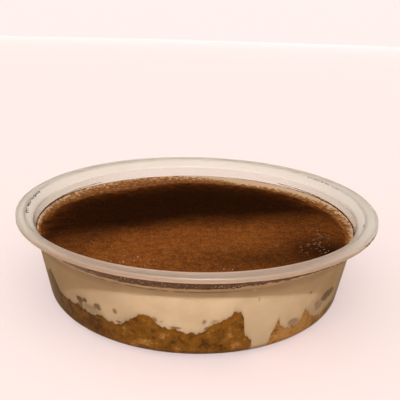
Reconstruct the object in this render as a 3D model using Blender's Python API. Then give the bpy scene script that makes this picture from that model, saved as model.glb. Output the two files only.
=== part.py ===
"""A shallow round takeaway tub of tiramisu.

A thin clear plastic tub with a lip for a snap-on lid holds three layers: coffee-soaked sponge,
mascarpone cream over it, and a thin coat of cocoa on top. Z is up, the tub stands on z = 0 and
its axis is the Z axis. Angles are counted from the front of the tub, -Y, towards +X.
"""
import math

import bpy

# Driving dimensions, in metres
RIM_RADIUS = 0.0590  # outside of the lip
RIM_HEIGHT = 0.0290  # top of the lip
LIP_INSIDE_RADIUS = 0.0555  # where the lip's flat top ends
LIP_SKIRT = 0.0014  # how far the lip's outer edge hangs down
SEAT_RADIUS = 0.0554  # foot of the short step inside the lip
SEAT_HEIGHT = 0.0281
WALL_TOP_RADIUS = 0.0538  # outside of the wall, under the lid seat
WALL_TOP_HEIGHT = 0.0262
STEP_RADIUS = 0.0527  # outside of the tapered wall, at the foot of the step that widens the tub
STEP_HEIGHT = 0.0221
STEP_OUT = 0.0008
STEP_RISE = 0.0007
BASE_RADIUS = 0.0490  # where the wall and the floor would meet in a sharp corner
BASE_FILLET = 0.0035
WALL = 0.0006  # thickness of the wall, the floor and the lip
GAP = 0.0003  # clearance between pieces that touch
FILL_HEIGHT = 0.0221  # top of the cream, at the wall
CREAM_DOME = 0.0004  # how much higher the cream stands in the middle
COCOA_THICKNESS = 0.0008
SPONGE_EDGE_HEIGHT = 0.0088  # usual top of the sponge along the wall
SPONGE_MIDDLE_HEIGHT = 0.0105

# Rounded corners of the lip
LIP_ROUNDING = 0.0004
CORNER_STEPS = 3
FILLET_STEPS = 5

# Crests and hollows of the sponge's top along the wall: angle from the front in degrees,
# rise above the usual height in metres, and half-width in degrees
SPONGE_CRESTS = (
    (-60, 0.0085, 9),
    (-33, -0.0008, 9),
    (-14, 0.0044, 5),
    (11, 0.0058, 6),
    (21, -0.0080, 5),
    (34, -0.0022, 6),
    (46, -0.0036, 5),
    (54, 0.0056, 6),
    (84, -0.0024, 10),
    (108, 0.0042, 9),
    (140, -0.0016, 12),
    (166, 0.0050, 8),
    (197, -0.0030, 9),
    (222, 0.0038, 10),
    (258, -0.0020, 12),
    (281, 0.0030, 8),
)
# Waves of the cocoa's uneven edge: how many round the tub, depth in metres, phase in degrees
COCOA_MARGIN = 0.0017  # usual width of the bare cream ring
COCOA_EDGE_WAVES = ((2, 0.0004, 40), (5, 0.0003, 115), (9, 0.0002, 20))

# Fineness of the meshes
SEGMENTS = 80
SURFACE_RINGS = 4  # rings from the middle of a layer to its edge
SIDE_RINGS = 5  # rings up the side of a layer

TAPER = math.atan((STEP_RADIUS - BASE_RADIUS) / STEP_HEIGHT)
FILLET_CENTRE = BASE_RADIUS + BASE_FILLET * (math.tan(TAPER) - 1 / math.cos(TAPER))


def clear_scene():
    for item in list(bpy.data.objects):
        bpy.data.objects.remove(item, do_unlink=True)


def make_material(name, colour, roughness, alpha=1.0):
    material = bpy.data.materials.new(name)
    material.use_nodes = True
    shader = material.node_tree.nodes["Principled BSDF"]
    shader.inputs["Base Color"].default_value = (*colour, 1.0)
    shader.inputs["Roughness"].default_value = roughness
    shader.inputs["Metallic"].default_value = 0.0
    shader.inputs["Alpha"].default_value = alpha
    return material


def segment_angles():
    return [math.tau * i / SEGMENTS for i in range(SEGMENTS)]


def round_solid(name, rings, material):
    """A closed body through rings of (radius, height), from its underside's middle to its top's.

    Each ring has one (radius, height) for every segment; the middle of the underside and of the
    top are the first and the last entry, each a height on the axis. Every quad is split from its
    outer ring to the next point of its inner ring, so that two facing surfaces split alike.
    """
    underside, *rings, top = rings
    points = [(0.0, 0.0, underside)]
    for ring in rings:
        for angle, (radius, height) in zip(segment_angles(), ring):
            points.append((radius * math.sin(angle), -radius * math.cos(angle), height))
    points.append((0.0, 0.0, top))

    faces = []
    last_ring = 1 + (len(rings) - 1) * SEGMENTS
    for i in range(SEGMENTS):
        following = (i + 1) % SEGMENTS
        faces.append((0, 1 + following, 1 + i))
        for k in range(len(rings) - 1):
            lower, lower_next = 1 + k * SEGMENTS + i, 1 + k * SEGMENTS + following
            upper, upper_next = lower + SEGMENTS, lower_next + SEGMENTS
            if rings[k][i][0] > rings[k + 1][i][0]:
                faces += [(lower, lower_next, upper_next), (lower, upper_next, upper)]
            else:
                faces += [(lower, lower_next, upper), (lower_next, upper_next, upper)]
        faces.append((last_ring + i, last_ring + following, len(points) - 1))

    mesh = bpy.data.meshes.new(name)
    mesh.from_pydata(points, [], faces)
    mesh.validate()
    mesh.shade_smooth()
    mesh.set_sharp_from_angle(angle=math.radians(35))
    mesh.materials.append(material)
    solid = bpy.data.objects.new(name, mesh)
    bpy.context.scene.collection.objects.link(solid)
    return solid


def shell_radius(height, inset):
    """Radius, at a height up to the step, of the surface inset within the tub's outer face."""
    fillet = BASE_FILLET - inset
    drop = BASE_FILLET - height
    if drop > fillet * math.sin(TAPER):
        return FILLET_CENTRE + math.sqrt(max(fillet**2 - drop**2, 0.0))
    return FILLET_CENTRE + fillet / math.cos(TAPER) - drop * math.tan(TAPER)


def corner(centre_radius, centre_height, radius, start, end, steps):
    """Points of an arc in the tub's section, from one angle to another in degrees."""
    points = []
    for i in range(steps + 1):
        angle = math.radians(start + (end - start) * i / steps)
        points.append(
            (centre_radius + radius * math.cos(angle), centre_height + radius * math.sin(angle))
        )
    return points


def tub_section():
    """The tub's section: up its outer face, over the lip, and down its inner face."""
    taper = math.degrees(TAPER)
    seat_slope = math.atan2(SEAT_HEIGHT - WALL_TOP_HEIGHT, SEAT_RADIUS - WALL_TOP_RADIUS + WALL)
    seat_shift = WALL * math.sin(seat_slope)
    seat_drop = WALL * math.cos(seat_slope)
    step_top = STEP_HEIGHT + STEP_RISE
    step_slope = math.atan2(STEP_RISE, STEP_OUT)
    step_lift = WALL * (1 - math.sin(step_slope)) / math.cos(step_slope)
    inside_foot = STEP_HEIGHT + step_lift
    skirt_foot = RIM_HEIGHT - LIP_SKIRT
    under_lip = RIM_HEIGHT - WALL

    outside = corner(FILLET_CENTRE, BASE_FILLET, BASE_FILLET, -90, -taper, FILLET_STEPS)
    outside += [
        (STEP_RADIUS, STEP_HEIGHT),
        (STEP_RADIUS + STEP_OUT, step_top),
        (WALL_TOP_RADIUS, WALL_TOP_HEIGHT),
        (SEAT_RADIUS + seat_shift, SEAT_HEIGHT - seat_drop),
        (SEAT_RADIUS + seat_shift + LIP_ROUNDING / 2, under_lip),
        (RIM_RADIUS - WALL, under_lip),
        (RIM_RADIUS - WALL, skirt_foot),
        (RIM_RADIUS, skirt_foot),
    ]
    lip = corner(
        RIM_RADIUS - LIP_ROUNDING, RIM_HEIGHT - LIP_ROUNDING, LIP_ROUNDING, 0, 90, CORNER_STEPS
    )
    lip += corner(
        LIP_INSIDE_RADIUS + LIP_ROUNDING, RIM_HEIGHT - LIP_ROUNDING, LIP_ROUNDING, 90, 180,
        CORNER_STEPS,
    )
    inside = [
        (SEAT_RADIUS, SEAT_HEIGHT),
        (WALL_TOP_RADIUS - WALL, WALL_TOP_HEIGHT),
        (STEP_RADIUS + STEP_OUT - WALL, step_top + step_lift),
        (shell_radius(inside_foot, WALL), inside_foot),
    ]
    inside += corner(FILLET_CENTRE, BASE_FILLET, BASE_FILLET - WALL, -taper, -90, FILLET_STEPS)
    return outside + lip + inside


def sponge_edge(angle):
    """Height of the sponge's top at the wall."""
    height = SPONGE_EDGE_HEIGHT
    for crest_angle, rise, half_width in SPONGE_CRESTS:
        away = (math.degrees(angle) - crest_angle + 180) % 360 - 180
        height += rise * math.exp(-((away / half_width) ** 2))
    return height


def sponge_top(angle, fraction):
    """Height of the sponge's top at a fraction of the way from the axis to the wall."""
    return SPONGE_MIDDLE_HEIGHT + (sponge_edge(angle) - SPONGE_MIDDLE_HEIGHT) * fraction**3


def cream_top(fraction):
    return FILL_HEIGHT + CREAM_DOME * (1 - fraction**2)


def cocoa_edge(angle):
    """Radius of the cocoa's uneven outline."""
    radius = shell_radius(FILL_HEIGHT, WALL + GAP) - COCOA_MARGIN
    for waves, depth, phase in COCOA_EDGE_WAVES:
        radius += depth * math.sin(waves * angle + math.radians(phase))
    return radius


def surface_ring(fraction, edge_radius, height):
    """A ring of a layer's top or underside; edge_radius and height are functions of the angle."""
    return [(fraction * edge_radius(angle), height(angle)) for angle in segment_angles()]


def side_rings(low, high, radius_at, steps):
    """Rings up a layer's side from its lower to its upper edge, closer together at the foot."""
    rings = []
    for i in range(steps + 1):
        share = (i / steps) ** 1.5
        rings.append([])
        for angle in segment_angles():
            height = low(angle) + (high(angle) - low(angle)) * share
            rings[-1].append((radius_at(angle, height), height))
    return rings


def make_tub():
    rings = [[point] * SEGMENTS for point in tub_section()]
    material = make_material("clear plastic", (0.75, 0.66, 0.58), 0.25, alpha=0.4)
    return round_solid("tub", [0.0, *rings, WALL], material)


def make_sponge():
    """Soaked sponge: flat on the tub's floor, its top rising and falling along the wall."""
    bottom = WALL + GAP

    def wall(angle, height):
        return shell_radius(height, WALL + GAP)

    rings = side_rings(lambda angle: bottom, sponge_edge, wall, SIDE_RINGS)
    for i in range(SURFACE_RINGS - 1, 0, -1):
        fraction = i / SURFACE_RINGS
        rings.append(
            surface_ring(
                fraction,
                lambda angle: wall(angle, sponge_edge(angle)),
                lambda angle: sponge_top(angle, fraction),
            )
        )
    material = make_material("soaked sponge", (0.20, 0.067, 0.010), 0.55)
    return round_solid("sponge", [bottom, *rings, sponge_top(0.0, 0.0)], material)


def make_cream():
    """Mascarpone cream: fills the tub from the sponge up to the fill line."""

    def wall(angle, height):
        return shell_radius(height, WALL + GAP)

    def underside(angle, fraction=1.0):
        return sponge_top(angle, fraction) + GAP

    rings = []
    for i in range(1, SURFACE_RINGS):
        fraction = i / SURFACE_RINGS
        rings.append(
            surface_ring(
                fraction,
                lambda angle: wall(angle, sponge_edge(angle)),
                lambda angle: underside(angle, fraction),
            )
        )
    rings += side_rings(underside, lambda angle: FILL_HEIGHT, wall, SIDE_RINGS)
    for i in range(SURFACE_RINGS - 1, 0, -1):
        fraction = i / SURFACE_RINGS
        rings.append(
            surface_ring(
                fraction,
                lambda angle: wall(angle, FILL_HEIGHT),
                lambda angle: cream_top(fraction),
            )
        )
    material = make_material("mascarpone cream", (0.69, 0.46, 0.27), 0.4)
    return round_solid("cream", [underside(0.0, 0.0), *rings, cream_top(0.0)], material)


def make_cocoa():
    """Cocoa: a thin coat over the cream that stops short of the wall in an uneven edge."""
    fill_radius = shell_radius(FILL_HEIGHT, WALL + GAP)

    def underside(angle, fraction=1.0):
        return cream_top(fraction * cocoa_edge(angle) / fill_radius) + GAP

    def top(angle, fraction=1.0):
        return underside(angle, fraction) + COCOA_THICKNESS

    fractions = [i / SURFACE_RINGS for i in range(1, SURFACE_RINGS + 1)]
    rings = []
    for fraction in fractions:
        rings.append(surface_ring(fraction, cocoa_edge, lambda angle: underside(angle, fraction)))
    for fraction in reversed(fractions):
        rings.append(surface_ring(fraction, cocoa_edge, lambda angle: top(angle, fraction)))
    material = make_material("cocoa", (0.144, 0.040, 0.007), 0.9)
    return round_solid("cocoa", [underside(0.0, 0.0), *rings, top(0.0, 0.0)], material)


clear_scene()
make_tub()
make_sponge()
make_cream()
make_cocoa()
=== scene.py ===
import math

import bmesh
import bpy
import numpy as np
from mathutils import Matrix, Vector, noise


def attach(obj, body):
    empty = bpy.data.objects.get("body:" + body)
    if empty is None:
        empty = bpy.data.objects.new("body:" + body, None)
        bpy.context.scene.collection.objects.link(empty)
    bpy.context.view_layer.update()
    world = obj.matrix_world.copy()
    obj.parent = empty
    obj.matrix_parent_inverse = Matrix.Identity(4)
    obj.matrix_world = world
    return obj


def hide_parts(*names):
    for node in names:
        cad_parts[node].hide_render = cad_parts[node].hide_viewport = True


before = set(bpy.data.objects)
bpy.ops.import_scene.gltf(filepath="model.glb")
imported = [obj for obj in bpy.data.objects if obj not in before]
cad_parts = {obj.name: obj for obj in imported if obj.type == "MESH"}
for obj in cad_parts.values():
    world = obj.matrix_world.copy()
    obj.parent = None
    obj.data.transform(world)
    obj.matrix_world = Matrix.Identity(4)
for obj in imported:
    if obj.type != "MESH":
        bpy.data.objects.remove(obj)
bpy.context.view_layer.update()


# The tub: a shallow round takeaway tub, formed from clear, slightly milky plastic 0.6 mm thick.
# Its wall tapers to a rounded base, with a small step near the top; there it opens into a sloping
# seat for a snap-on lid and a lip with a shallow channel and a short skirt, cut a little off centre.
WALL = 0.0006
WALL_TOP = 0.0262
BASE_RADIUS = 0.0490
BASE_FILLET = 0.0035
STEP_RADIUS = 0.0527
STEP_FOOT = 0.0221
STEP_OUT = 0.0008
STEP_RISE = 0.0007
STEP_LIFT = 0.45  # how much higher the step starts on its inside, as a share of the thickness
TAPER = math.atan((STEP_RADIUS - BASE_RADIUS) / STEP_FOOT)
TUB_HEIGHT = 0.0290
TUB_SIDES = 320  # points of the tub round its axis
ASKEW = 0.00055  # how far left of the lip's cut edge the rest of the tub sits
LIP_CENTRED_FROM = 0.0577  # radius from which the lip is centred, and the width of the change
LIP_CHANGE = 0.0017
MILKY_FROM = 0.0250  # height above which forming has left the plastic milky
SKIRT_TOP = 0.0279  # the cut edge: below this height, outside this radius
SKIRT_INSIDE = 0.0583
SIDE_PAINTED_SHADE_SPAN = (0.034, 0.052)  # how far to the side the plastic's tint starts and ends to change to the sides' darker one, which is painted shade
FRONT_PAINTED_TINT_SPAN = (-0.052, -0.020)  # and where, along Y, it changes from that of the front, which on the lip and its cut edge is painted browner for the contents' light showing through
FILLET_CENTRE = BASE_RADIUS + BASE_FILLET * (math.tan(TAPER) - 1 / math.cos(TAPER))
TUB_OUTSIDE = (  # radius, height and rounding of each corner
    (BASE_RADIUS, 0.0, BASE_FILLET),
    (STEP_RADIUS, STEP_FOOT, 0.0002),
    (STEP_RADIUS + STEP_OUT, STEP_FOOT + STEP_RISE, 0.0003),
    (0.0538, WALL_TOP, 0.0015),
    (0.0559, 0.0278, 0.0006),
    (0.0560, 0.0284, 0.0002),
    (0.0584, 0.0284, 0.0003),
    (0.0584, 0.0276, 0.00008),
    (0.0590, 0.0276, 0.0002),
)
TUB_LIP = (
    (0.0590, TUB_HEIGHT, 0.0004),
    (0.0584, TUB_HEIGHT, 0.0003),
    (0.0580, 0.02886, 0.0005),
    (0.0563, 0.02886, 0.0005),
    (0.0558, TUB_HEIGHT, 0.0002),
    (0.0555, TUB_HEIGHT, 0.0002),
)
TUB_INSIDE = (
    (0.0554, 0.0281, 0.0002),
    (0.0532, WALL_TOP, 0.0014),
    (STEP_RADIUS + STEP_OUT - WALL, STEP_FOOT + STEP_RISE + STEP_LIFT * WALL, 0.0002),
    (0.0521, STEP_FOOT + STEP_LIFT * WALL, 0.0003),
    (0.0485, WALL, BASE_FILLET - WALL),
)


def rounded_section(corners, start, end):
    """Points of a section from start to end, with each corner (radius, height, rounding) rounded."""
    path = [start, *corners, end]
    points = [start[:2]]
    for before, (radius, height, rounding), after in zip(path, corners, path[2:]):
        tip = Vector((radius, height))
        back = (Vector(before[:2]) - tip).normalized()
        on = (Vector(after[:2]) - tip).normalized()
        half = back.angle(on) / 2
        centre = tip + (back + on).normalized() * rounding / math.sin(half)
        first = tip + back * rounding / math.tan(half) - centre
        last = tip + on * rounding / math.tan(half) - centre
        steps = 3 + round(rounding / 0.0007)
        for i in range(steps + 1):
            spoke = first.lerp(last, i / steps).normalized() * rounding
            points.append((centre + spoke)[:])
    points.append(end[:2])
    return np.array(points)


def round_angles(count):
    """Angles of evenly spaced points round the tub."""
    return np.arange(count) * math.tau / count


def off_centre(radii):
    """How far left of the lip's cut edge a point at a distance from the tub's axis sits."""
    return ASKEW * np.clip((LIP_CENTRED_FROM - radii) / LIP_CHANGE, 0, 1)


def new_body(name, points, faces, finish):
    """A smooth body from points and faces, put in the scene."""
    mesh = bpy.data.meshes.new(name)
    mesh.from_pydata(points, [], faces)
    mesh.shade_smooth()
    mesh.materials.append(finish)
    body = bpy.data.objects.new(name, mesh)
    bpy.context.scene.collection.objects.link(body)
    return body


def round_body(name, radii, heights, finish):
    """A closed body through rings about the Z axis, from the middle of its underside to its top's.

    radii and heights have a row for each ring and a column for each angle, counted from the
    front (-Y) towards +X.
    """
    rings, count = radii.shape
    angles = round_angles(count)
    aside = off_centre(radii)
    points = np.stack([radii * np.sin(angles) - aside, -radii * np.cos(angles), heights], axis=-1)
    ends = [[-ASKEW, 0, heights[end].mean()] for end in (0, -1)]
    points = np.concatenate([points.reshape(-1, 3), ends])
    here = np.arange(count)
    following = (here + 1) % count
    low = np.arange(rings - 1)[:, None] * count
    quads = np.stack([low + here, low + following, low + count + following, low + count + here], -1)
    last = (rings - 1) * count
    under = np.stack([following, here, np.full(count, rings * count)], -1)
    over = np.stack([last + here, last + following, np.full(count, rings * count + 1)], -1)
    faces = [*quads.reshape(-1, 4).tolist(), *under.tolist(), *over.tolist()]
    return new_body(name, points, faces, finish)


def new_finish(name):
    """A material with its node tree and its Principled BSDF."""
    finish = bpy.data.materials.new(name)
    finish.use_nodes = True
    return finish, finish.node_tree, finish.node_tree.nodes["Principled BSDF"]


def add_node(tree, kind, inputs, **settings):
    """A node with its settings and inputs; an input is a value or another node's output."""
    made = tree.nodes.new(kind)
    for name, value in settings.items():
        setattr(made, name, value)
    for name, value in inputs.items():
        if isinstance(value, bpy.types.NodeSocket):
            tree.links.new(value, made.inputs[name])
        else:
            made.inputs[name].default_value = value
    return made


def calculate(tree, operation, first, second, clamp=False):
    made = add_node(tree, "ShaderNodeMath", {0: first, 1: second}, operation=operation)
    made.use_clamp = clamp
    return made.outputs[0]


def blend_colours(tree, share, first, second):
    made = add_node(
        tree, "ShaderNodeMix", {0: share, 6: first, 7: second}, data_type="RGBA", clamp_factor=True
    )
    return made.outputs[2]


def ramp(tree, value, low, high, start=0.0, end=1.0):
    """From start, where the value is low, softly to end, where it is high."""
    made = add_node(
        tree,
        "ShaderNodeMapRange",
        {"Value": value, "From Min": low, "From Max": high, "To Min": start, "To Max": end},
        interpolation_type="SMOOTHSTEP",
    )
    return made.outputs["Result"]


def speckle(tree, place, scale, detail, roughness=0.5):
    """Chance unevenness from 0 to 1, finer for a larger scale."""
    made = add_node(
        tree,
        "ShaderNodeTexNoise",
        {"Vector": place, "Scale": scale, "Detail": detail, "Roughness": roughness},
    )
    return made.outputs["Fac"]


def relief(tree, height, depth):
    """The normal of a surface with small bumps, as high as depth says."""
    return add_node(tree, "ShaderNodeBump", {"Height": height, "Distance": depth}).outputs["Normal"]


def place_in_tub(tree):
    return tree.nodes.new("ShaderNodeTexCoord").outputs["Object"]


def height_and_radius(tree):
    """A surface point's height over the table and its distance from the tub's axis."""
    parts = add_node(tree, "ShaderNodeSeparateXYZ", {0: place_in_tub(tree)})
    across = add_node(
        tree, "ShaderNodeCombineXYZ", {"X": parts.outputs["X"], "Y": parts.outputs["Y"]}
    )
    length = add_node(tree, "ShaderNodeVectorMath", {0: across.outputs[0]}, operation="LENGTH")
    return parts.outputs["Z"], length.outputs["Value"]


def new_group(name, inputs, outputs):
    """A node group with its sockets, each a name and a kind; gives its tree, inputs and outputs."""
    group = bpy.data.node_groups.new(name, "ShaderNodeTree")
    for socket, kind in inputs:
        group.interface.new_socket(socket, in_out="INPUT", socket_type=kind)
    for socket, kind in outputs:
        group.interface.new_socket(socket, in_out="OUTPUT", socket_type=kind)
    given = group.nodes.new("NodeGroupInput").outputs
    return group, given, group.nodes.new("NodeGroupOutput").inputs


def formed_plastic():
    """What all of the tub's plastic shares: tints round the tub, with painted shade on its sides and
    painted light from the contents on the lip's front, and fine streaks that run round it.
    """
    group, given, put_out = new_group(
        "formed_plastic",
        [(tint, "NodeSocketColor") for tint in ("Front", "Sides", "Back")],
        [("Tint", "NodeSocketColor"), ("Normal", "NodeSocketVector")],
    )
    parts = add_node(group, "ShaderNodeSeparateXYZ", {0: place_in_tub(group)})
    aside = calculate(group, "ABSOLUTE", parts.outputs["X"], 0.0)
    side_shade_share = ramp(group, aside, *SIDE_PAINTED_SHADE_SPAN)
    behind_front = ramp(group, parts.outputs["Y"], *FRONT_PAINTED_TINT_SPAN)
    # painted shade: the tint darkens towards the sides; at the front it turns to the front's tint,
    # which is browner on the lip
    tint = blend_colours(group, side_shade_share, given["Back"], given["Sides"])
    tint = blend_colours(group, behind_front, given["Front"], tint)
    group.links.new(tint, put_out["Tint"])
    height, radius = height_and_radius(group)
    rings = add_node(group, "ShaderNodeCombineXYZ", {"X": radius, "Y": height})
    streaks = speckle(group, rings.outputs[0], 900.0, 1.0)
    group.links.new(relief(group, streaks, 0.00003), put_out["Normal"])
    return group


tub_plastic = formed_plastic()


def plastic(name, front, sides, back, roughness, clearness, shading):
    """One of the tub's plastics; lamps shine through it, less the share that it shades."""
    finish, tree, shader = new_finish(name)
    formed = add_node(
        tree, "ShaderNodeGroup", {"Front": front, "Sides": sides, "Back": back}, node_tree=tub_plastic
    )
    tree.links.new(formed.outputs["Tint"], shader.inputs["Base Color"])
    tree.links.new(formed.outputs["Normal"], shader.inputs["Normal"])
    shader.inputs["Roughness"].default_value = roughness
    shader.inputs["IOR"].default_value = 1.49
    shader.inputs["Transmission Weight"].default_value = clearness
    gap = tree.nodes.new("ShaderNodeBsdfTransparent")
    shaded = tree.nodes.new("ShaderNodeLightPath").outputs["Is Shadow Ray"]
    passed = calculate(tree, "MULTIPLY", shaded, 1 - shading)
    mixed = add_node(
        tree, "ShaderNodeMixShader", {0: passed, 1: shader.outputs[0], 2: gap.outputs[0]}
    )
    tree.links.new(mixed.outputs[0], tree.nodes["Material Output"].inputs["Surface"])
    return finish


section = rounded_section(TUB_OUTSIDE + TUB_LIP + TUB_INSIDE, (0.0, 0.0, 0), (0.0, WALL, 0))[1:-1]
turned = [np.repeat(measure[:, None], TUB_SIDES, axis=1) for measure in section.T]
# Tints for front, sides and back: the darker sides are painted shade, and the lip's browner front is
# painted light from the contents behind it.
wall_plastic = plastic(
    "clear_wall",
    front=(0.87, 0.85, 0.79, 1.0),
    sides=(0.72, 0.71, 0.61, 1.0),
    back=(0.85, 0.83, 0.76, 1.0),
    roughness=0.08,
    clearness=1.0,
    shading=0.15,
)
lip_plastic = plastic(
    "milky_lip",
    front=(0.77, 0.62, 0.49, 1.0),
    sides=(0.97, 0.94, 0.85, 1.0),
    back=(0.95, 0.92, 0.83, 1.0),
    roughness=0.36,
    clearness=0.86,
    shading=0.8,
)
# The skirt's cut edge: paler, rougher and less clear, a painted highlight for the light that catches
# the edge; browner at the front like the lip.
cut_edge_highlight = plastic(
    "cut_edge_highlight",
    front=(0.68, 0.49, 0.37, 1.0),
    sides=(0.80, 0.72, 0.63, 1.0),
    back=(0.80, 0.72, 0.63, 1.0),
    roughness=0.6,
    clearness=0.3,
    shading=0.8,
)
tub = round_body("tub_shell", *turned, wall_plastic)
tub.data.materials.append(lip_plastic)
tub.data.materials.append(cut_edge_highlight)
for face in tub.data.polygons:  # material 0 is the wall's, 1 the lip's and 2 the cut edge's
    on_skirt = face.center.z < SKIRT_TOP and face.center.to_2d().length > SKIRT_INSIDE
    face.material_index = 2 if on_skirt else int(face.center.z > MILKY_FROM)
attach(tub, "root")
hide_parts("tub")


# The soaked sponge: ladyfinger biscuits sodden with coffee, laid on the tub's floor and pressed
# against its wall. Their tops rise in crests and fall in hollows where the cream runs down
# between them, so their line along the wall is uneven.
INSIDE_WALL = 0.0003  # how far inside the tub's outer face the contents lie: within its wall
SPONGE_LINE = (  # angle from the front and height of the sponge along the wall, in mm
    (-60, 13.5),
    (-56, 15.6),
    (-54, 14.6),
    (-51, 10.3),
    (-48, 9.2),
    (-40, 9.7),
    (-37, 9.0),
    (-34, 8.5),
    (-29, 8.9),
    (-26, 8.1),
    (-22.5, 8.5),
    (-19, 10.7),
    (-16.8, 12.7),
    (-14.2, 13.5),
    (-12.2, 12.8),
    (-10.8, 10.8),
    (-7, 9.8),
    (-3.5, 9.4),
    (-1.5, 8.6),
    (1.5, 8.4),
    (3.5, 9.2),
    (6.3, 11.6),
    (8.6, 12.0),
    (10.5, 13.2),
    (12.4, 14.8),
    (14.4, 14.7),
    (15.5, 13.4),
    (15.9, 11.0),
    (16.4, 8.0),
    (16.9, 6.2),
    (19.3, 4.8),
    (19.6, 1.0),
    (25.4, 1.0),
    (26.0, 5.6),
    (27.0, 7.0),
    (27.9, 10.3),
    (28.8, 7.9),
    (31, 6.2),
    (36, 6.1),
    (38.0, 7.6),
    (38.9, 11.3),
    (40.4, 9.0),
    (43, 6.7),
    (49, 4.8),
    (58, 6.0),
    (70, 8.5),
    (84, 7.0),
    (106, 12.4),
    (140, 7.2),
    (166, 13.0),
    (197, 6.5),
    (222, 12.2),
    (258, 7.5),
    (281, 11.4),
)
SPONGE_MIDDLE = 0.0105
AROUND = 900  # points of the contents round the tub
NEAR_WALL = 0.053  # radius at which unevenness along the wall is measured


def shell_radius(height, inset):
    """Radius, at a height, of the surface that lies inset within the tub's outer face."""
    fillet = BASE_FILLET - inset
    drop = BASE_FILLET - height
    rounded = FILLET_CENTRE + np.sqrt(np.maximum(fillet**2 - drop**2, 0.0))
    straight = FILLET_CENTRE + fillet / math.cos(TAPER) - drop * math.tan(TAPER)
    up_step = np.clip((height - STEP_FOOT - STEP_LIFT * inset) / STEP_RISE, 0, 1)
    return np.where(drop > fillet * math.sin(TAPER), rounded, straight + STEP_OUT * up_step)


def lumps(radii, heights, size, seed):
    """Unevenness from -1 to 1 at points of rings; size is the size of the lumps."""
    angles = round_angles(radii.shape[1])
    xs, ys = radii * np.sin(angles) / size, radii * np.cos(angles) / size
    zs = np.broadcast_to(heights / size, xs.shape) + seed * 17.3  # a slice of its own for each seed
    values = [noise.noise(place) for place in zip(xs.ravel(), ys.ravel(), zs.ravel())]
    return np.array(values).reshape(radii.shape)


def around_edge(radius, size, seed):
    """Unevenness along a level circle round the tub's axis."""
    return lumps(np.full((1, AROUND), radius), 0.0, size, seed)[0]


def sponge_line():
    """Height of the sponge's top along the wall."""
    table = np.array(SPONGE_LINE)
    line = np.interp(np.degrees(angles), table[:, 0], table[:, 1], period=360) / 1000
    line += 0.0005 * around_edge(NEAR_WALL, 0.0021, 1) + 0.0008 * around_edge(NEAR_WALL, 0.0009, 2)
    return np.maximum(line, 0.0012)


def sponge_top(radii, share):
    """The sponge's top from its line along the wall, at share 1, to its middle, at share 0."""
    bulges = 0.0008 * lumps(radii, 0.0, 0.009, 3) * (1 - share**6)
    return SPONGE_MIDDLE + (line - SPONGE_MIDDLE) * share**3 + bulges


def turned_from(centre):
    """How far each angle of the contents is turned from a centre angle, from -180 to 180 degrees."""
    return (np.degrees(angles) - centre + 180) % 360 - 180


def share_near(centre, reach):
    """From 1 at the centre angle to 0 out of reach of it, both in degrees."""
    return np.exp(-((turned_from(centre) / reach) ** 2))


def set_values(body, name, values):
    """A value at each point, for the finish to read; the middle points take the first and last."""
    layer = body.data.attributes.new(name, "FLOAT", "POINT")
    layer.data.foreach_set("value", np.concatenate([values.ravel(), values.ravel()[[0, -1]]]))


def sponge_finish():
    """Crumb from sodden and dark to dry and pale, as its value drier_and_lit says; its low values also
    carry painted shade.
    """
    finish, tree, shader = new_finish("soaked_sponge")
    place = place_in_tub(tree)
    blotches = speckle(tree, place, 300.0, 6.0, 0.75)
    crumb = speckle(tree, place, 1100.0, 3.0, 0.7)
    drier_and_lit = add_node(tree, "ShaderNodeAttribute", {}, attribute_name="drier_and_lit").outputs["Fac"]
    uneven = add_node(
        tree, "ShaderNodeMath", {0: blotches, 1: 3.7, 2: -1.85}, operation="MULTIPLY_ADD"
    )
    drier_and_lit = calculate(tree, "ADD", drier_and_lit, uneven.outputs[0])
    colour = blend_colours(
        tree, ramp(tree, drier_and_lit, -0.1, 0.5), (0.085, 0.026, 0.003, 1.0), (0.228, 0.081, 0.005, 1.0)
    )
    colour = blend_colours(tree, ramp(tree, drier_and_lit, 0.55, 1.2), colour, (0.50, 0.25, 0.07, 1.0))
    colour = blend_colours(
        tree, ramp(tree, crumb, 0.5, 0.75, 0.0, 0.4), colour, (0.34, 0.13, 0.018, 1.0)
    )
    tree.links.new(colour, shader.inputs["Base Color"])
    shader.inputs["Roughness"].default_value = 0.5
    shader.inputs["Specular IOR Level"].default_value = 0.0
    tree.links.new(relief(tree, crumb, 0.0002), shader.inputs["Normal"])
    return finish


angles = round_angles(AROUND)
line = sponge_line()
sponge_foot = WALL * 0.5
side = sponge_foot + (line - sponge_foot) * (np.linspace(0, 1, 26)[:, None] ** 1.3)
side_radii = shell_radius(side, INSIDE_WALL + 0.00004)
share = np.linspace(1, 0, 14)[1:-1, None]
top_radii = side_radii[-1] * share
sponge = round_body(
    "sponge_layer",
    np.concatenate([side_radii, top_radii]),
    np.concatenate([side, sponge_top(top_radii, share)]),
    sponge_finish(),
)

# Drier at the front right and at the back; more sodden at the front left and along the sponge's top.
# Darker still towards the left edge and where it stands on the floor: there the darkness is painted
# shade.
foot_shade = np.clip((0.0013 - side) / 0.0005, 0, 1)
low = np.clip((0.0055 - side) / 0.002, 0, 1)
below_line = np.clip((side - line + 0.0012) / 0.001, 0, 1)
drier_and_lit = 0.40 - 0.35 * share_near(-55, 22) + 0.85 * share_near(38, 15)
drier_and_lit = drier_and_lit + 0.3 * share_near(-18, 9) * low - 0.2 * below_line
# painted shade: darker towards the left edge and at the foot
drier_and_lit = drier_and_lit - 0.2 * share_near(-76, 16) - 0.5 * foot_shade
drier_and_lit = drier_and_lit + 0.3 * share_near(140, 50) + 0.25 * share_near(240, 40)
set_values(sponge, "drier_and_lit", np.concatenate([drier_and_lit, np.full_like(top_radii, 0.4)]))
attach(sponge, "root")
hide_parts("sponge")


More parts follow.
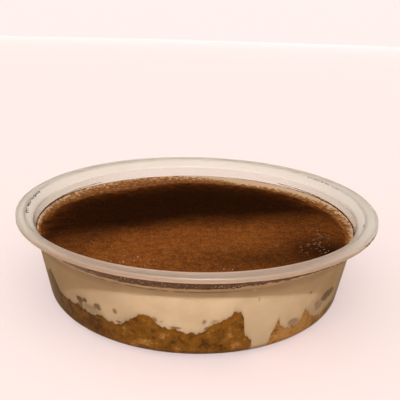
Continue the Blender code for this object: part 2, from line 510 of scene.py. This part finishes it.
# The mascarpone cream: spooned over the sponge, it fills the tub up to the cocoa and runs down to
# the floor between two biscuits. Pockets of air and of coffee are trapped against the wall, and a
# ring of it stays bare round the cocoa, widest at the back, where the cocoa ends in flecks.
FILL = 0.0224
TILT_TO_FRONT = 0.0068
TILT_TO_RIGHT = 0.0030
FILL_RADIUS = 0.0525  # of the wall at the filling's level
CLEAN = -1.0  # cocoa on the cream: none, as on its side, its underside and its flecks
COVERED = 1.2  # and so much that no cream shows
DOME = 0.0004  # how much higher than level the cream stands in its middle
POCKETS = (  # angle from the front, height, half-width, half-height, how brown
    (-38.2, 0.0120, 0.0015, 0.0009, 1.0),
    (-35.7, 0.0124, 0.0008, 0.0008, 1.0),
    (-38.4, 0.0103, 0.0010, 0.0012, 0.8),
    (-30.5, 0.0118, 0.0012, 0.0011, 0.85),
    (-33.8, 0.0101, 0.0030, 0.0013, 0.45),
    (-23.9, 0.0122, 0.0007, 0.0008, 0.75),
    (-23.0, 0.0089, 0.0008, 0.0004, 0.95),
    (-11.2, 0.0119, 0.0008, 0.0010, 0.75),
    (-9.0, 0.0117, 0.0003, 0.0002, 0.8),
    (-4.8, 0.0100, 0.0015, 0.0004, 0.8),
    (3.8, 0.0123, 0.0006, 0.0007, 0.7),
    (4.6, 0.0102, 0.0007, 0.0004, 0.9),
    (7.0, 0.0122, 0.0009, 0.0006, 0.4),
    (19.6, 0.0181, 0.0003, 0.0004, 0.7),
    (39.6, 0.0158, 0.0005, 0.0004, 0.6),
    (34.3, 0.0073, 0.0019, 0.0012, 0.6),
    (45.0, 0.0103, 0.0010, 0.0008, 0.5),
    (46.8, 0.0088, 0.0018, 0.0012, 0.45),
    (51.5, 0.0112, 0.0042, 0.0017, 0.9),
)
# The ring: angle from the front, and how far in from the wall, in mm, the bare cream ends and the
# cocoa covers it. Where the first is below zero, flecks of cocoa reach the wall.
RING = (
    (0, -0.1, 0.3),
    (40, 0.0, 0.5),
    (62, 0.3, 1.8),
    (80, 0.5, 4.0),
    (90, 0.5, 5.0),
    (100, 0.7, 6.0),
    (110, 1.3, 6.8),
    (120, 2.6, 7.6),
    (140, 4.8, 9.6),
    (150, 6.4, 11.0),
    (160, 6.0, 11.6),
    (170, 3.4, 12.2),
    (182, 1.2, 12.4),
    (200, -1.0, 13.0),
    (212, -3.4, 13.6),
    (222, -3.8, 13.4),
    (232, -3.0, 11.6),
    (242, -1.4, 9.0),
    (250, -0.4, 7.0),
    (262, 0.1, 4.6),
    (272, 0.3, 3.2),
    (282, 0.3, 1.8),
    (305, 0.0, 0.7),
    (335, -0.1, 0.4),
)


def cream_finish():
    """Cream, browned by coffee stains and by painted shade and lightened by a painted highlight, as its
    value coffee_shade_and_highlight says, and dusted with cocoa as its value dusting says.
    """
    finish, tree, shader = new_finish("mascarpone_cream")
    place = place_in_tub(tree)
    clouds = speckle(tree, place, 120.0, 3.0)
    grains = speckle(tree, place, 1500.0, 3.0, 0.7)
    drawn_out = add_node(
        tree, "ShaderNodeVectorMath", {0: place, 1: (1.2, 0.8, 1.2)}, operation="MULTIPLY"
    )
    flecks = speckle(tree, drawn_out.outputs[0], 560.0, 4.0, 0.75)
    colour = blend_colours(
        tree, ramp(tree, clouds, 0.35, 0.65), (0.65, 0.47, 0.295, 1.0), (0.58, 0.41, 0.25, 1.0)
    )
    stain_shade_and_highlight = add_node(tree, "ShaderNodeAttribute", {}, attribute_name="coffee_shade_and_highlight").outputs["Fac"]
    # Below zero the value paints a pale highlight; above zero it browns the cream, for coffee stains
    # and for painted shade.
    colour = blend_colours(tree, ramp(tree, stain_shade_and_highlight, -1.0, 0.0), (0.98, 0.70, 0.50, 1.0), colour)
    colour = blend_colours(tree, stain_shade_and_highlight, colour, (0.15, 0.075, 0.03, 1.0))
    dusting = add_node(tree, "ShaderNodeAttribute", {}, attribute_name="dusting").outputs["Fac"]
    patchy = add_node(
        tree, "ShaderNodeMath", {0: flecks, 1: 3.4, 2: -1.7}, operation="MULTIPLY_ADD"
    )
    cover = calculate(tree, "ADD", dusting, patchy.outputs[0])
    topside = ramp(tree, dusting, -1.0, -0.6)
    colour = blend_colours(tree, topside, colour, (0.76, 0.50, 0.32, 1.0))
    colour = blend_colours(tree, ramp(tree, cover, 0.0, 0.45), colour, (0.40, 0.155, 0.030, 1.0))
    colour = blend_colours(tree, ramp(tree, cover, 0.4, 0.95), colour, (0.21, 0.062, 0.012, 1.0))
    colour = blend_colours(tree, ramp(tree, cover, 0.95, 1.5), colour, (0.06, 0.018, 0.005, 1.0))
    tree.links.new(colour, shader.inputs["Base Color"])
    tree.links.new(ramp(tree, cover, 0.1, 0.6, 0.42, 0.9), shader.inputs["Roughness"])
    shader.inputs["Specular IOR Level"].default_value = 0.2
    tree.links.new(relief(tree, grains, 0.00008), shader.inputs["Normal"])
    return finish


def fill_height(radii, turns):
    """The filling's level: it lies a little higher at the front and at the right."""
    return FILL + radii * (TILT_TO_FRONT * np.cos(turns) + TILT_TO_RIGHT * np.sin(turns))


def doming(radii, rim):
    """How much higher than its level the cream stands, from its rim to its middle."""
    return DOME * (1 - (radii / rim) ** 2)


def cream_surface(radii):
    """The top of the cream, a little domed and lumpy."""
    lumpy = 0.00010 * lumps(radii, 0.0, 0.0028, 7)
    return fill_height(radii, angles) + doming(radii, rim) + lumpy


def ring_end(column):
    """Distance in from the wall, round the tub, at which a band of the ring ends."""
    table = np.array(RING)
    return np.interp(np.degrees(angles), table[:, 0], table[:, column], period=360) / 1000


level = fill_height(FILL_RADIUS, angles)
pushed_up = 0.00015 * share_near(0, 60) + 0.0004 * share_near(24, 14)
uneven = 1 + around_edge(NEAR_WALL, 0.004, 4) + 0.9 * around_edge(NEAR_WALL, 0.001, 5)
smear = 0.0001 + pushed_up * uneven
at_sides = np.clip(share_near(92, 38) + share_near(266, 36), 0, 1)
smear += at_sides * np.maximum(STEP_FOOT + STEP_RISE + 0.0002 - level - smear, 0)
wall_top = level + smear
rim = shell_radius(wall_top, WALL)
rise = 1 - np.linspace(1, 0, 62)[:, None] ** 1.25
cream_foot = line - 0.0001
side = cream_foot + (wall_top - cream_foot) * rise
dent = np.zeros_like(side)
coffee_shade_and_highlight = np.zeros_like(side)
ragged = 0.3 * lumps(np.full_like(side, NEAR_WALL), side, 0.0011, 5)
for centre, height, half_width, half_height, brown in POCKETS:
    across = np.radians(turned_from(centre)) * FILL_RADIUS
    away = np.sqrt((across / half_width) ** 2 + ((side - height) / half_height) ** 2) + ragged
    hollow = np.clip(1.2 - away, 0, 1)
    dent = np.maximum(dent, 0.0002 * hollow**0.6)
    coffee_shade_and_highlight = np.maximum(coffee_shade_and_highlight, brown * np.clip(hollow * 3, 0, 1))

# Coffee that the cream has drawn: a halo along the sponge. Painted light: a broken dark line of painted
# shade just under the foot of the tub's step with a pale painted highlight over it, painted shade
# towards both sides and, higher up, in the band where the lip's shadow falls; and darker streaks near
# both sides.
drawn = 0.6 + 0.7 * lumps(np.full_like(side, NEAR_WALL), side, 0.003, 6)
halo = np.exp(-(side - line) / 0.0008) * drawn
coffee_shade_and_highlight = np.maximum(coffee_shade_and_highlight, 0.55 * np.clip(halo, 0, 1))
# painted shade: a broken dark line just under the foot of the tub's step
step_shade_height = STEP_FOOT - 0.0003 - 0.0001 * around_edge(NEAR_WALL, 0.006, 17)
broken = np.clip(0.75 + 1.6 * around_edge(NEAR_WALL, 0.0022, 18), 0, 1) * share_near(-8, 34)
coffee_shade_and_highlight = np.maximum(coffee_shade_and_highlight, 0.9 * broken * np.exp(-(((side - step_shade_height) / 0.00018) ** 2)))
# painted highlight: a pale line over the step's foot
step_highlight = np.exp(-(((side - STEP_FOOT - 0.0005) / 0.00025) ** 2))
coffee_shade_and_highlight -= 0.8 * share_near(-22, 42) * step_highlight
# painted shade towards both sides and, from 19.5 mm up, where the lip's shadow falls; darker streaks
# near both sides
shade_and_streaks = 0.66 * share_near(-92, 34) + 0.12 * share_near(90, 30)
shade_and_streaks = shade_and_streaks + 0.2 * np.clip((side - 0.0195) / 0.0015, 0, 1)
streaks = share_near(-70, 8) + 0.6 * share_near(66, 9)
shade_and_streaks = shade_and_streaks + 0.7 * streaks * np.clip(0.4 + 1.6 * around_edge(NEAR_WALL, 0.0026, 19), 0, 1)
coffee_shade_and_highlight = np.where(coffee_shade_and_highlight < 0, coffee_shade_and_highlight, np.maximum(coffee_shade_and_highlight, np.clip(shade_and_streaks, 0, 0.8)))

side_radii = shell_radius(side, INSIDE_WALL) - dent
inward = np.concatenate([[0.0, 0.0002, 0.0004], np.arange(0.0008, 0.0135, 0.00055)])[:, None]
top_radii = np.broadcast_to(rim - inward, (len(inward), AROUND))
top = cream_surface(top_radii) + smear * np.exp(-((inward / 0.0005) ** 2))
middle_radii = np.array([0.7, 0.45, 0.2])[:, None] * np.full((1, AROUND), 0.040)
middle = fill_height(middle_radii, angles) + 0.0003
share = np.linspace(0, 1, 8)[1:-1, None]
under_radii = side_radii[0] * share
under = sponge_top(under_radii, share) + 0.0002
whipped_cream = cream_finish()
cream = round_body(
    "cream_layer",
    np.concatenate([under_radii, side_radii, top_radii, middle_radii]),
    np.concatenate([under, side, top, middle]),
    whipped_cream,
)

# Cocoa on the cream's top: bare ring, flecks, closed coat; some has stuck to the wall at both sides
# and at a spot behind on the right.
bare_end, coat_start = ring_end(1), ring_end(2)
dusting = np.clip((inward - bare_end) / (coat_start - bare_end), -0.6, COVERED)
dusting = np.where(dusting > 0, np.abs(dusting) ** 0.65, dusting)
stuck = share_near(268, 38) + share_near(96, 36) + 0.6 * share_near(153, 9)
at_wall = inward < 0.0003
dusting = np.where(at_wall, np.maximum(dusting, COVERED * np.clip(stuck, 0, 1)), dusting)
clean_part = np.full((len(under) + len(side), AROUND), CLEAN)
set_values(cream, "dusting", np.concatenate([clean_part, dusting, np.full_like(middle, COVERED)]))
plain_top = np.zeros((len(top) + len(middle), AROUND))
set_values(cream, "coffee_shade_and_highlight", np.concatenate([np.zeros_like(under), coffee_shade_and_highlight, plain_top]))
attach(cream, "root")
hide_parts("cream")


# The cocoa: powder sieved over the cream in a coat under 1 mm thick. It has drawn up damp and
# nearly black at the back and in a patch at the front right, and stays dry and lighter between;
# its edge thins out over the cream.
DAMPEST = (0.016, 0.0045, 0.0017, 1.0)
DAMP = (0.034, 0.0100, 0.0032, 1.0)
COAT_BASE = 0.00012  # how thick the coat is at its edge, and how much thicker over all
COAT_MORE = 0.00055


def soft_step(value, low, high):
    """From 0 below the low value to 1 above the high one."""
    share = np.clip((value - low) / (high - low), 0, 1)
    return share * share * (3 - 2 * share)


def spot(x, y, centre_x, centre_y, reach_x, reach_y):
    """From 1 at a centre to 0 out of reach of it."""
    return np.exp(-(((x - centre_x) / reach_x) ** 2) - ((y - centre_y) / reach_y) ** 2)


def sifted_cocoa():
    """What all cocoa shares: its grain, and its colours from damp to dry, drawn up in clouds."""
    colours = [(name, "NodeSocketColor") for name in ("Dampest", "Damp", "Dry", "Driest")]
    group, given, put_out = new_group(
        "sifted_cocoa",
        [("Dryness", "NodeSocketFloat"), *colours],
        [("Colour", "NodeSocketColor"), ("Normal", "NodeSocketVector")],
    )
    place = place_in_tub(group)
    clouds = speckle(group, place, 420.0, 5.0, 0.7)
    grains = speckle(group, place, 1900.0, 3.0, 0.75)
    grain = ramp(group, grains, 0.38, 0.64)
    dry = blend_colours(group, grain, given["Dry"], given["Driest"])
    damp = blend_colours(group, grain, given["Dampest"], given["Damp"])
    drawn = ramp(group, clouds, 0.34, 0.66, 0.72, 1.28)
    dry_share = calculate(group, "MULTIPLY", given["Dryness"], drawn, True)
    group.links.new(blend_colours(group, dry_share, damp, dry), put_out["Colour"])
    group.links.new(relief(group, grains, 0.00026), put_out["Normal"])
    return group


cocoa_grain = sifted_cocoa()


def cocoa_finish(name, dry, driest):
    """Cocoa powder, as dry as its value dryness says."""
    finish, tree, shader = new_finish(name)
    dryness = add_node(tree, "ShaderNodeAttribute", {}, attribute_name="dryness").outputs["Fac"]
    powder = add_node(
        tree,
        "ShaderNodeGroup",
        {"Dryness": dryness, "Dampest": DAMPEST, "Damp": DAMP, "Dry": dry, "Driest": driest},
        node_tree=cocoa_grain,
    )
    tree.links.new(powder.outputs["Colour"], shader.inputs["Base Color"])
    tree.links.new(powder.outputs["Normal"], shader.inputs["Normal"])
    shader.inputs["Roughness"].default_value = 0.85
    shader.inputs["Specular IOR Level"].default_value = 0.0
    return finish


dusted = coat_start - np.maximum(bare_end, 0)
edge = rim - coat_start + 0.1 * dusted
edge = edge + (0.0002 + 0.06 * dusted) * around_edge(0.05, 0.0045, 8)
edge = np.minimum(edge, rim + 0.0002)
share = np.linspace(0, 1, 94)[1:, None] ** 0.8
radii = share * edge
foot = cream_surface(radii) - 0.0001
thinning = np.clip((edge - radii) / (0.0008 + 0.4 * dusted), 0, 1) ** 0.6
coat = foot + COAT_BASE + COAT_MORE * thinning
coat += thinning * (
    0.00018 * lumps(radii, 0.0, 0.006, 11)
    + 0.00017 * lumps(radii, 0.0, 0.0017, 12)
    + 0.00013 * lumps(radii, 0.0, 0.0008, 13)
)
cocoa = round_body(
    "cocoa_coat",
    np.concatenate([radii[::12], radii[-1:], radii[::-1]]),
    np.concatenate([foot[::12], foot[-1:], coat[::-1]]),
    cocoa_finish("cocoa_powder", dry=(0.17, 0.046, 0.008, 1.0), driest=(0.31, 0.094, 0.019, 1.0)),
)

# Dry from the front to the middle, with a wandering border; damp towards the sides, along the front
# and in two patches at the front right; two drier spots, and dry again where the edge is thin.
x, y = radii * np.sin(angles), -radii * np.cos(angles)
wander = 0.0025 * lumps(radii, 0.0, 0.012, 14) + 0.0012 * lumps(radii, 0.0, 0.005, 15)
drying = np.where(x < 0, 0.40, 0.18) * x - y + wander + 0.003 * soft_step(x, 0.020, 0.036)
dryness = soft_step(drying, -0.0025, 0.0215)
dryness *= 1 - 0.35 * soft_step(x, 0.018, 0.036)
dryness *= 1 - 0.35 * soft_step(-y, 0.024, 0.040)
dryness *= 1 - 0.3 * soft_step(-x, 0.018, 0.040)
dryness *= 1 - 0.92 * spot(x, y, 0.040, -0.028, 0.0145, 0.0100)
dryness *= 1 - 0.5 * spot(x, y, 0.019, -0.0345, 0.015, 0.0075)
dryness += 0.2 * spot(x, y, 0.004, -0.021, 0.010, 0.006)
dryness += 0.35 * spot(x, y, -0.021, -0.039, 0.013, 0.007)
from_edge = np.maximum(edge - radii, 0)
thin = np.exp(-from_edge / (0.0008 + 0.22 * coat_start)) + 0.18 * np.exp(-from_edge / 0.006)
thin = thin * (0.85 + 0.8 * lumps(radii, 0.0, 0.0030, 16))
dryness = np.maximum(dryness, 0.9 * thin * soft_step(y, -0.036, -0.010))
dryness = np.clip(dryness, 0, 1)
set_values(cocoa, "dryness", np.concatenate([dryness[::12], dryness[-1:], dryness[::-1]]))
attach(cocoa, "root")
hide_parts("cocoa")


# The loose grains: coarser cocoa that lies on the coat and over its ragged edge, and specks of it
# that missed and stuck to the wall above the filling, on the lip and on the foot of its skirt.
COAT_GRAINS = 4200
EDGE_GRAINS = 3000  # at most: the nearer to the wall, the fewer of them are kept
SKIRT_LIMIT = 0.0591  # no grain lies farther from the tub's axis
WALL_RADIUS = 0.054  # grains within it lie inside the tub, and are finer
GRAIN_SPOTS = (  # from angle, to angle, radius, height, spread, how many
    (-95, -72, 0.0553, 0.0285, 0.0003, 90),
    (108, 127, 0.0553, 0.0285, 0.0003, 40),
    (132, 135, 0.0558, 0.0287, 0.0002, 8),
    (67, 69, 0.0556, 0.0287, 0.0002, 4),
    (73, 83, 0.0588, 0.0287, 0.0001, 6),
    (53, 60, 0.0590, 0.0283, 0.0002, 30),
    (27, 41, 0.0590, 0.0277, 0.0001, 34),
    (12, 27, 0.0590, 0.0277, 0.0001, 10),
    (228, 298, 0.0527, 0.0232, 0.00005, 460),
    (62, 140, 0.0527, 0.0232, 0.00005, 520),
)


def strewn(name, places, ups, widths, thickness, finish, seed):
    """Lumpy crumbs in one mesh, each flattened along its own up direction."""
    chance = np.random.default_rng(seed)
    crumb = bmesh.new()
    bmesh.ops.create_icosphere(crumb, subdivisions=1, radius=0.5)
    corners = np.array([corner.co[:] for corner in crumb.verts])
    sides = np.array([[corner.index for corner in face.verts] for face in crumb.faces])
    crumb.free()
    count = len(places)
    shapes = corners * chance.uniform(0.7, 1.25, (count, len(corners), 1))
    sizes = np.stack([widths, widths * chance.uniform(0.5, 1, count), widths * thickness], -1)
    shapes = shapes * sizes[:, None]
    across = np.cross(ups, chance.normal(size=(count, 3)))
    across /= np.linalg.norm(across, axis=1, keepdims=True)
    frames = np.stack([across, np.cross(ups, across), ups], 1)
    points = np.einsum("nci,nij->ncj", shapes, frames) + places[:, None]
    faces = (np.arange(count)[:, None, None] * len(corners) + sides).reshape(-1, 3)
    body = new_body(name, points.reshape(-1, 3), faces.tolist(), finish)
    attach(body, "root")
    return body


def in_tub(turns, distances, heights):
    """Points at angles from the front, distances from the axis and heights."""
    across = distances * np.sin(turns) - off_centre(distances)
    return np.stack([across, -distances * np.cos(turns), heights + 0 * turns], -1)


chance = np.random.default_rng(5)
chosen = chance.choice(radii.size, COAT_GRAINS, replace=False, p=(radii / radii.sum()).ravel())
row, column = np.unravel_index(chosen, radii.shape)
places = [in_tub(angles[column], radii[row, column], coat[row, column])]
tones = [dryness[row, column] * chance.uniform(0.5, 1.6, len(row))]

column = chance.integers(0, AROUND, EDGE_GRAINS)
depth = coat_start[column] * chance.uniform(0, 1, EDGE_GRAINS)
cover = (depth - bare_end[column]) / (coat_start - bare_end)[column]
kept = (chance.uniform(0, 1, EDGE_GRAINS) ** 0.7 < cover) & (depth > 0.0003)
column, depth = column[kept], depth[kept]
bed = rim[column] - depth
ground = fill_height(bed, angles[column]) + doming(bed, rim[column])
places.append(in_tub(angles[column], bed, ground))
tones.append(chance.uniform(0, 1, len(column)))
widths = [chance.uniform(0.00018, 0.00042, sum(map(len, places)))]

for start, end, distance, height, spread, count in GRAIN_SPOTS:
    turns = np.radians(chance.uniform(start, end, count))
    aside = chance.normal(0, 1, (2, count)) * spread
    distances = np.minimum(distance + aside[0], SKIRT_LIMIT)
    places.append(in_tub(turns, distances, height + 0.2 * aside[1]))
    tones.append(chance.uniform(0, 0.35, count))
    finer = 0.9 if distance < WALL_RADIUS else 1.0
    widths.append(chance.uniform(0.00025, 0.0005, count) * finer)

places = np.concatenate(places)
grains = strewn(
    "cocoa_grains",
    places,
    ups=np.tile((0.0, 0.0, 1.0), (len(places), 1)),
    widths=np.concatenate(widths),
    thickness=0.6,
    finish=cocoa_finish(
        "cocoa_grain", dry=(0.20, 0.056, 0.010, 1.0), driest=(0.38, 0.13, 0.032, 1.0)
    ),
    seed=6,
)
layer = grains.data.attributes.new("dryness", "FLOAT", "POINT")
tones = np.clip(np.concatenate(tones), 0, 1)
layer.data.foreach_set("value", np.repeat(tones, len(grains.data.vertices) // len(tones)))


# Flecks of cream: smeared on the clear wall just above the filling while it was spooned in, more
# but lower towards the right. A few crumbs were thrown on the cocoa at the front, and fine pale sand
# of dried cream lies on it at the front left.
CRUMBS = (  # angle from the front, distance from the tub's axis
    (-26, 0.0437),
    (-23, 0.0418),
    (-23.5, 0.0392),
    (14, 0.0437),
    (11, 0.0432),
    (-30, 0.0452),
)
chance = np.random.default_rng(7)
turns = np.concatenate([chance.uniform(-32, 16, 60), chance.uniform(8, 34, 110)])
highest = np.interp(turns, (0, 14, 24, 34), (0.0019, 0.0012, 0.0010, 0.0005))
heights = FILL + 0.0004 + chance.uniform(0, 1, len(turns)) ** 1.5 * highest
turns = np.radians(turns)
on_wall = in_tub(turns, shell_radius(heights, WALL) + 0.00002, heights)
wall_ups = np.stack([-np.sin(turns), np.cos(turns), np.full_like(turns, 0.16)], -1)
wall_ups /= np.linalg.norm(wall_ups, axis=1, keepdims=True)

turns, distances = np.array(CRUMBS).T
turns = np.radians(turns)
thrown = in_tub(turns, distances, fill_height(distances, turns) + 0.0008)
row, column = chance.integers(60, 90, 110), chance.integers(770, 882, 110)
sand = in_tub(angles[column], radii[row, column], coat[row, column])
widths = [
    chance.uniform(0.0002, 0.0005, len(on_wall)),
    chance.uniform(0.0004, 0.0006, len(thrown)),
    chance.uniform(0.00014, 0.00028, len(sand)),
]
flecks = strewn(
    "cream_flecks",
    np.concatenate([on_wall, thrown, sand]),
    ups=np.concatenate([wall_ups, np.tile((0.0, 0.0, 1.0), (len(thrown) + len(sand), 1))]),
    widths=np.concatenate(widths),
    thickness=0.4,
    finish=whipped_cream,
    seed=8,
)
layer = flecks.data.attributes.new("dusting", "FLOAT", "POINT")
layer.data.foreach_set("value", np.full(len(flecks.data.vertices), CLEAN))


# The curls: fine pale specks, about 1 mm long, on the damp patch at the front right. Each
# is a thin bent strand, thickest in its middle, that rises a little off the cocoa.
CURLS = 46
CURL_RINGS = 7
CURL_SIDES = 4
UP = np.array((0.0, 0.0, 1.0))
chance = np.random.default_rng(9)
steps = np.linspace(-0.5, 0.5, CURL_RINGS)
corners = round_angles(CURL_SIDES)[:, None]
flat = np.zeros(CURL_RINGS)
points, faces = [], []
for _ in range(CURLS):
    x, y = chance.normal(0.0420, 0.0052), chance.normal(-0.0280, 0.0075)
    distance = min(math.hypot(x, y), chance.uniform(0.0415, 0.0492))
    turn = math.atan2(x, -y)
    place = in_tub(turn, distance, fill_height(distance, turn))
    length = chance.uniform(0.0006, 0.0015)
    bend = chance.uniform(-2.4, 2.4)
    way = chance.uniform(0, math.pi) + bend * steps
    path = np.cumsum(np.stack([np.cos(way), np.sin(way), flat], -1), 0) * length / CURL_RINGS
    path[:, 2] = 0.0010 + 0.0002 * np.cos(steps * math.pi)
    thick = 0.00007 * np.cos(steps * 2.6) + 0.00002
    aside = np.stack([-np.sin(way), np.cos(way), flat], -1)
    spokes = np.cos(corners) * aside[:, None] + np.sin(corners) * UP
    tube = path[:, None] + thick[:, None, None] * spokes
    base = len(points)
    points += (tube.reshape(-1, 3) + place).tolist()
    for ring_base in range(base, base + (CURL_RINGS - 1) * CURL_SIDES, CURL_SIDES):
        for j in range(CURL_SIDES):
            here, following = ring_base + j, ring_base + (j + 1) % CURL_SIDES
            faces.append((here, following, following + CURL_SIDES, here + CURL_SIDES))
    last = len(points) - CURL_SIDES
    faces += [range(base + CURL_SIDES - 1, base - 1, -1), range(last, len(points))]
finish, tree, shader = new_finish("pale_strands")
shader.inputs["Roughness"].default_value = 0.6
shader.inputs["Specular IOR Level"].default_value = 0.15
tint = speckle(tree, place_in_tub(tree), 260.0, 2.0)
colour = blend_colours(
    tree, ramp(tree, tint, 0.4, 0.6), (0.36, 0.20, 0.11, 1.0), (0.14, 0.060, 0.028, 1.0)
)
tree.links.new(colour, shader.inputs["Base Color"])
curls = new_body("pale_curls", points, faces, finish)
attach(curls, "root")


# The studio: a seamless pale floor with a bright backdrop round it, under a soft dome of light. A
# small cool lamp above the front of the tub draws the lip's shadow on the wall, and two wide ones
# light it from both sides. Two more light only the floor and lay the tub's shadow on it.
FLOOR_REACH = 3.0
BACKDROP_RADIUS = 3.0
BACKDROP_SIDES = 64
BACKDROP_EDGES = (-0.01, 0.8)  # heights of its foot and its top

# The floor's colour as it is seen, as it warms the tub from below, and as the tub's surface
# mirrors it.
floor_paint, tree, shader = new_finish("pale_floor")
path = tree.nodes.new("ShaderNodeLightPath").outputs
entered = calculate(tree, "MINIMUM", path["Transmission Depth"], 1.0)
only_mirrored = calculate(tree, "SUBTRACT", 1.0, entered)
in_mirror = calculate(tree, "MULTIPLY", path["Glossy Depth"], only_mirrored)
shade = blend_colours(
    tree, path["Diffuse Depth"], (0.80, 0.695, 0.715, 1.0), (0.66, 0.42, 0.19, 1.0)
)
shade = blend_colours(tree, in_mirror, shade, (0.27, 0.19, 0.11, 1.0))
tree.links.new(shade, shader.inputs["Base Color"])
shader.inputs["Roughness"].default_value = 1.0
shader.inputs["Specular IOR Level"].default_value = 0.0
floor_corners = [
    (-FLOOR_REACH, -FLOOR_REACH, 0),
    (FLOOR_REACH, -FLOOR_REACH, 0),
    (FLOOR_REACH, FLOOR_REACH, 0),
    (-FLOOR_REACH, FLOOR_REACH, 0),
]
floor = new_body("floor", floor_corners, [(0, 1, 2, 3)], floor_paint)

# The dome: warm light from the front, and softer greys where it is mirrored or seen through plastic.
world = bpy.data.worlds.new("studio")
bpy.context.scene.world = world
world.use_nodes = True
tree = world.node_tree
rays = tree.nodes.new("ShaderNodeLightPath").outputs
direction = add_node(
    tree, "ShaderNodeSeparateXYZ", {0: tree.nodes.new("ShaderNodeTexCoord").outputs["Generated"]}
)
glow = ramp(tree, direction.outputs["Y"], -0.9, 0.6, 1.0, 0.2)
warm = blend_colours(tree, glow, (0.0, 0.0, 0.0, 1.0), (1.0, 0.88, 0.70, 1.0))
in_front = ramp(tree, direction.outputs["Y"], -0.8, 0.8, 1.0, 0.0)
grey = blend_colours(tree, in_front, (0.45, 0.42, 0.38, 1.0), (0.74, 0.66, 0.58, 1.0))
grey = blend_colours(tree, rays["Is Transmission Ray"], grey, (0.88, 0.84, 0.77, 1.0))
dome = blend_colours(tree, rays["Is Diffuse Ray"], grey, warm)
tree.links.new(dome, tree.nodes["Background"].inputs["Color"])

foot_and_top = [
    (BACKDROP_RADIUS * math.sin(turn), BACKDROP_RADIUS * math.cos(turn), height)
    for height in BACKDROP_EDGES
    for turn in round_angles(BACKDROP_SIDES)
]
panels = []
for here in range(BACKDROP_SIDES):
    following = (here + 1) % BACKDROP_SIDES
    panels.append((here, following, BACKDROP_SIDES + following, BACKDROP_SIDES + here))
paint, tree, shader = new_finish("backdrop")
shader.inputs["Base Color"].default_value = (0.0, 0.0, 0.0, 1.0)
shader.inputs["Emission Color"].default_value = (1.0, 0.871, 0.84, 1.0)
shader.inputs["Emission Strength"].default_value = 1.0
backdrop = new_body("backdrop", foot_and_top, panels, paint)


def add_lamp(name, kind, place, target, power, colour, size, lit, blocked_by):
    """A lamp turned from a place to a target; it lights and is blocked by only some pieces."""
    lamp = bpy.data.lights.new(name, kind)
    lamp.energy = power
    lamp.color = colour
    if kind == "SUN":
        lamp.angle = size
    else:
        lamp.shadow_soft_size = size
    holder = bpy.data.objects.new(name, lamp)
    holder.location = place
    holder.rotation_euler = (Vector(target) - Vector(place)).to_track_quat("-Z", "Y").to_euler()
    bpy.context.scene.collection.objects.link(holder)
    receivers = bpy.data.collections.new(name + "_lights")
    for piece in lit:
        receivers.objects.link(piece)
    holder.light_linking.receiver_collection = receivers
    blockers = bpy.data.collections.new(name + "_blockers")
    for piece in blocked_by:
        blockers.objects.link(piece)
    holder.light_linking.blocker_collection = blockers


pieces = [tub, sponge, cream, cocoa, grains, flecks, curls]
cool, plain = (0.75, 0.86, 1.0), (1.0, 1.0, 1.0)
middle_of_tub = (0, 0, 0)
key_place, lip_front = (0.0057, -0.1243, 0.1005), (0, -0.053, 0.022)
add_lamp("key", "POINT", key_place, lip_front, 0.48, cool, 0.003, pieces, pieces)
for name, place, power in (
    ("fill_left", (-0.7, -0.8, 0.5), 0.34),
    ("fill_right", (0.7, -0.8, 0.5), 0.37),
):
    add_lamp(name, "SUN", place, middle_of_tub, power, cool, 0.6, pieces, pieces)
add_lamp("floor_light", "SUN", (0, 0, 1), middle_of_tub, 1.54, plain, 0.5, [floor], [floor])
shade_place = (-0.45, -0.35, 1)
add_lamp("floor_shade", "SUN", shade_place, middle_of_tub, 0.91, plain, 2.2, [floor], pieces)

LENS = 46.68
CAMERA_PLACE = (0.00077, -0.1681, 0.0853)
CAMERA_TILT = math.radians(18.65)
CAMERA_ROLL = math.radians(-1.63)
camera = bpy.data.objects.new("camera", bpy.data.cameras.new("camera"))
bpy.context.scene.collection.objects.link(camera)
bpy.context.scene.camera = camera
camera.data.lens = LENS
camera.data.sensor_width = 36.0
camera.data.clip_start = 0.005
camera.location = CAMERA_PLACE
line_of_sight = (0, math.cos(CAMERA_TILT), -math.sin(CAMERA_TILT))
upright = Matrix.Rotation(math.pi / 2 - CAMERA_TILT, 4, "X")
roll = Matrix.Rotation(CAMERA_ROLL, 4, line_of_sight)
camera.rotation_euler = (roll @ upright).to_euler()
bpy.context.scene.view_settings.view_transform = "Standard"
